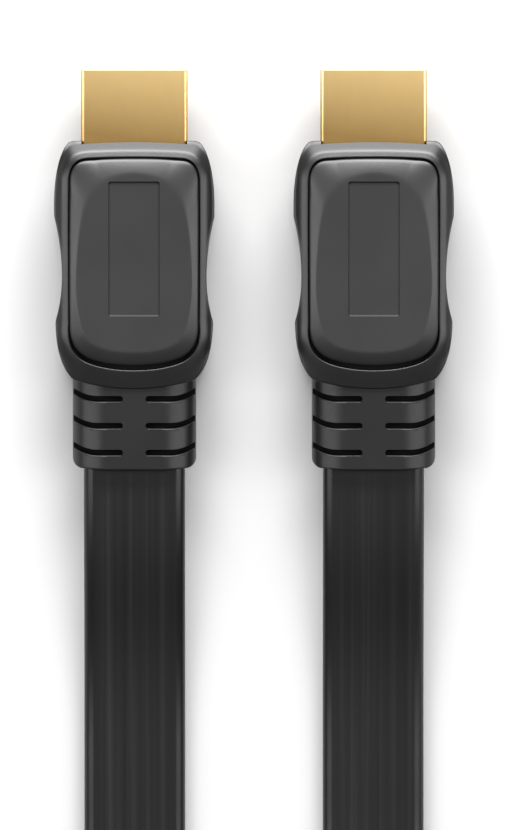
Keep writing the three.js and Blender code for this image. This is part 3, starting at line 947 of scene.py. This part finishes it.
def make_lap(index, corners, half_width):
    """The strap's lapped end, lying on the strap's outer side and over its top."""
    half_x, half_z = corners[0]
    start_z = -half_z * 0.45
    path = [(half_x, start_z), (half_x, half_z - LAP_CORNER)]
    path += quadratic(path[-1], (half_x, half_z), (half_x - LAP_CORNER, half_z), 8)
    path += [(-half_x + LAP_END, half_z)]
    path = resampled(path, LAP_POINTS)
    rings = []
    thickness = TIE_THICKNESS * LAP_THICKNESS
    for i, point in enumerate(path):
        before = Vector(path[max(0, i - 1)])
        after = Vector(path[min(len(path) - 1, i + 1)])
        along = (after - before).normalized()
        out = Vector((along.y, -along.x))
        from_end = min(i, len(path) - 1 - i)
        taper = 1 - 0.25 * (1 - min(1.0, from_end / 3)) ** 2
        width = half_width * taper
        low = Vector(point) + out * LAP_CLEARANCE
        high = Vector(point) + out * thickness
        section = [(low, -width), (high, -width), (high, width), (low, width)]
        rings.append([(place.x, y, place.y) for place, y in section])
    return loft(f"strap_{index}_lap", rings)


# Materials

class Nodes:
    """A material's node tree, with short calls to add and join nodes."""

    def __init__(self, name):
        self.material = bpy.data.materials.new(name)
        self.material.use_nodes = True
        self.tree = self.material.node_tree
        self.shader = self.tree.nodes["Principled BSDF"]

    def add(self, kind, **settings):
        node = self.tree.nodes.new(kind)
        for key, value in settings.items():
            if hasattr(node, key):
                setattr(node, key, value)
            else:
                node.inputs[key].default_value = value
        return node

    def join(self, output, target):
        self.tree.links.new(output, target)

    def set(self, **values):
        for key, value in values.items():
            self.shader.inputs[key.replace("_", " ")].default_value = value

    def coordinates(self, scale=(1, 1, 1), source="Object"):
        where = self.add("ShaderNodeTexCoord")
        mapping = self.add("ShaderNodeMapping")
        mapping.inputs["Scale"].default_value = scale
        self.join(where.outputs[source], mapping.inputs["Vector"])
        return mapping.outputs["Vector"]

    def noise(self, vector, scale, detail=3.0, roughness=0.5):
        node = self.add("ShaderNodeTexNoise")
        node.inputs["Scale"].default_value = scale
        node.inputs["Detail"].default_value = detail
        node.inputs["Roughness"].default_value = roughness
        self.join(vector, node.inputs["Vector"])
        return node.outputs["Fac"]

    def ramp(self, value, low, high, from_low=0.0, from_high=1.0):
        node = self.add("ShaderNodeMapRange")
        node.inputs["From Min"].default_value = from_low
        node.inputs["From Max"].default_value = from_high
        node.inputs["To Min"].default_value = low
        node.inputs["To Max"].default_value = high
        self.join(value, node.inputs["Value"])
        return node.outputs["Result"]

    def colours(self, value, stops):
        node = self.add("ShaderNodeValToRGB")
        band = node.color_ramp
        while len(band.elements) < len(stops):
            band.elements.new(0.5)
        for element, (position, colour) in zip(band.elements, stops):
            element.position = position
            element.color = (*colour, 1)
        self.join(value, node.inputs["Fac"])
        return node.outputs["Color"]

    def blend(self, share, first, second, kind):
        node = self.add("ShaderNodeMix", data_type=kind)
        names = {"RGBA": (6, 7, 2), "FLOAT": (2, 3, 0)}[kind]
        self.join(share, node.inputs[0])
        for place, value in zip(names, (first, second)):
            if isinstance(value, bpy.types.NodeSocket):
                self.join(value, node.inputs[place])
            else:
                node.inputs[place].default_value = value
        return node.outputs[names[2]]

    def bump(self, height, strength, distance, under=None):
        node = self.add("ShaderNodeBump")
        node.inputs["Strength"].default_value = strength
        node.inputs["Distance"].default_value = distance
        self.join(height, node.inputs["Height"])
        if under is not None:
            self.join(under, node.inputs["Normal"])
        return node.outputs["Normal"]


def plastic(name, tones, roughness, specular):
    """Moulded plastic: fine grain, slightly uneven gloss and tone, and painted shade deep in gaps: near
    black, with no gloss.
    """
    m = Nodes(name)
    m.set(Metallic=0.0, IOR=1.5, Specular_IOR_Level=specular)
    where = m.coordinates()
    cloud = m.noise(where, 90, 3)
    fine = m.noise(where, 5200, 2, 0.6)
    painted_shade_depth = m.add("ShaderNodeAttribute", attribute_name="painted_shade_depth")
    # Painted shade: the colour goes to near black, and the gloss goes, the deeper a point lies in a gap
    painted_gap_shade = m.ramp(painted_shade_depth.outputs["Fac"], 0.0, 1.0, 0.06, 0.26)
    tone = m.colours(cloud, list(zip((0.3, 0.7), tones)))
    m.join(m.blend(painted_gap_shade, tone, GAP_PAINTED_SHADE, "RGBA"), m.shader.inputs["Base Color"])
    gloss = m.ramp(cloud, roughness - 0.02, roughness + 0.03, 0.3, 0.7)
    m.join(m.blend(painted_gap_shade, gloss, 1.0, "FLOAT"), m.shader.inputs["Roughness"])
    m.join(m.bump(fine, 0.3, 0.00002), m.shader.inputs["Normal"])
    return m.material


def plated(name, tones, roughness):
    """Gold plating: satin, with painted shade that darkens it towards the housing and towards one side, and
    the faintest rubbing.
    """
    m = Nodes(name)
    m.set(Metallic=1.0)
    split = m.add("ShaderNodeSeparateXYZ")
    m.join(m.coordinates(), split.inputs["Vector"])
    # Painted shade: the gold darkens from the tip towards the housing
    painted_shade_depth = m.ramp(split.outputs["Y"], 1.0, 0.0, HOUSING_FRONT * MM, TIP_Y * MM)
    across = m.add("ShaderNodeMath", operation="WRAP")
    m.join(split.outputs["X"], across.inputs[0])
    across.inputs[1].default_value = 2 * PLUG_X["left"] * MM
    across.inputs[2].default_value = 0
    # Painted shade and light across the shell: darker towards its left side, lighter towards its right, the
    # same on both plugs
    painted_side_shade = m.ramp(across.outputs[0], 0.12, -0.06, (PLUG_X["left"] - 7) * MM, (PLUG_X["left"] + 7) * MM)
    shade = m.add("ShaderNodeMath", operation="ADD")
    m.join(painted_shade_depth, shade.inputs[0])
    m.join(painted_side_shade, shade.inputs[1])
    m.join(m.colours(shade.outputs[0], list(zip((0.0, 1.0), tones))), m.shader.inputs["Base Color"])
    streaks = m.noise(m.coordinates((3000, 500, 3000)), 1.0, 3)
    m.join(m.ramp(streaks, roughness - 0.015, roughness + 0.02, 0.3, 0.7), m.shader.inputs["Roughness"])
    m.join(m.bump(streaks, 0.03, 0.000004), m.shader.inputs["Normal"])
    return m.material


def jacket(name):
    """Extruded cable jacket: satin, with faint lengthwise bands and fine lines from the die."""
    m = Nodes(name)
    m.set(Metallic=0.0, IOR=1.5, Specular_IOR_Level=0.36)
    bands = m.noise(m.coordinates((520, 7, 1), "UV"), 1.0, 2, 0.5)
    lines = m.noise(m.coordinates((2600, 22, 1), "UV"), 1.0, 3, 0.6)
    m.join(m.colours(bands, JACKET_BLACK), m.shader.inputs["Base Color"])
    m.join(m.ramp(bands, 0.28, 0.40, 0.3, 0.7), m.shader.inputs["Roughness"])
    m.join(m.bump(lines, 0.25, 0.00002), m.shader.inputs["Normal"])
    return m.material


def webbing(name):
    """Woven nylon strap."""
    m = Nodes(name)
    m.set(Metallic=0.0, Sheen_Weight=0.4, Sheen_Roughness=0.5)
    where = m.coordinates()
    warp = m.add("ShaderNodeTexWave", wave_type="BANDS", bands_direction="DIAGONAL")
    warp.inputs["Scale"].default_value = 320
    warp.inputs["Distortion"].default_value = 2
    m.join(where, warp.inputs["Vector"])
    fuzz = m.noise(where, 2400, 3)
    m.join(m.colours(fuzz, WEBBING_GREY), m.shader.inputs["Base Color"])
    m.join(m.ramp(fuzz, 0.75, 0.95), m.shader.inputs["Roughness"])
    first = m.bump(warp.outputs["Fac"], 0.7, 0.00012)
    m.join(m.bump(fuzz, 0.5, 0.00008, first), m.shader.inputs["Normal"])
    return m.material


def paint(piece, material):
    piece.data.materials.clear()
    piece.data.materials.append(material)


# Camera and floor

def make_camera():
    """Straight above the plugs, far off with a long lens, as the photograph is taken."""
    data = bpy.data.cameras.new("camera")
    data.sensor_fit = "VERTICAL"
    data.sensor_height = SENSOR
    data.lens = SENSOR * (CAMERA_HEIGHT - MID_Z * MM) / VIEW_HEIGHT
    camera = bpy.data.objects.new("camera", data)
    camera.location = (0, CAMERA_Y, CAMERA_HEIGHT)
    bpy.context.scene.collection.objects.link(camera)
    bpy.context.scene.camera = camera


def make_floor():
    mesh = bpy.data.meshes.new("floor")
    reach = FLOOR_REACH
    corners = [(-reach, -reach, 0), (reach, -reach, 0), (reach, reach, 0), (-reach, reach, 0)]
    mesh.from_pydata(corners, [], [(0, 1, 2, 3)])
    floor = new_object("floor", mesh)
    m = Nodes("pale_floor")
    m.set(Base_Color=FLOOR_GREY, Roughness=0.9, Specular_IOR_Level=0.1)
    paint(floor, m.material)


def area_light(name, place, aim, size, energy):
    data = bpy.data.lights.new(name, "AREA")
    data.shape = "RECTANGLE"
    data.size, data.size_y = size
    data.energy = energy
    light = bpy.data.objects.new(name, data)
    light.location = place
    light.rotation_euler = (Vector(aim) - Vector(place)).to_track_quat("-Z", "Y").to_euler()
    bpy.context.scene.collection.objects.link(light)


def make_lights():
    """A strong strip and a low panel in front of the plugs, a strip on each side and a faint one above."""
    world = bpy.data.worlds.new("studio")
    world.use_nodes = True
    background = world.node_tree.nodes["Background"]
    background.inputs["Color"].default_value = (1, 1, 1, 1)
    background.inputs["Strength"].default_value = WORLD_STRENGTH
    bpy.context.scene.world = world
    for light in LIGHTS:
        area_light(*light)
    bpy.context.scene.view_settings.view_transform = "Standard"


# Build

make_camera()

cable, cable_path = make_cable()
jacket_material = jacket("cable_jacket_black")
paint(cable, jacket_material)
strap_material = webbing("strap_webbing")
for number, tie_angle in enumerate(TIE_ANGLES, start=1):
    strap, strap_lap = make_tie(number, tie_angle)
    for piece in (strap, strap_lap):
        paint(piece, strap_material)
        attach(piece, "root")
    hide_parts(f"tie_{number}")
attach(cable, "root")
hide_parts("cable_run_left", "cable_run_right", "cable_coil", "cable_middle_bend")

charcoal = plastic("charcoal_plastic", CHARCOAL, roughness=0.33, specular=0.5)
cap_plastic = plastic("cap_plastic", CAP_GREY, roughness=0.35, specular=0.5)
relief_plastic = plastic("relief_plastic", RELIEF_BLACK, roughness=0.36, specular=0.4)
insulator_plastic = plastic("insulator_plastic", INSULATOR_BLACK, roughness=0.55, specular=0.3)
shell_gold_painted_shade = plated("shell_gold_painted_shade", SHELL_GOLD_AND_PAINTED_SHADE, roughness=0.30)
contact_gold = plated("contact_gold", CONTACT_GOLD, roughness=0.2)

for side in ("left", "right"):
    pieces = [
        (make_housing(side), f"{side}_housing", "housing", charcoal),
        (make_cap(side, "top"), f"{side}_top_cap", "cap", cap_plastic),
        (make_cap(side, "bottom"), f"{side}_bottom_cap", "cap", cap_plastic),
        (make_relief(side), f"{side}_strain_relief", "strain_relief", relief_plastic),
        (make_shell(side), f"{side}_shell", "plug_shell", shell_gold_painted_shade),
    ]
    for piece, node, slot, material in pieces:
        paint(piece, material)
        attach(piece, "root")
        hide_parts(node)
    for node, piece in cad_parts.items():
        if node.startswith(f"{side}_contact"):
            paint(piece, contact_gold)
        elif node == f"{side}_insulator":
            paint(piece, insulator_plastic)

make_floor()
make_lights()
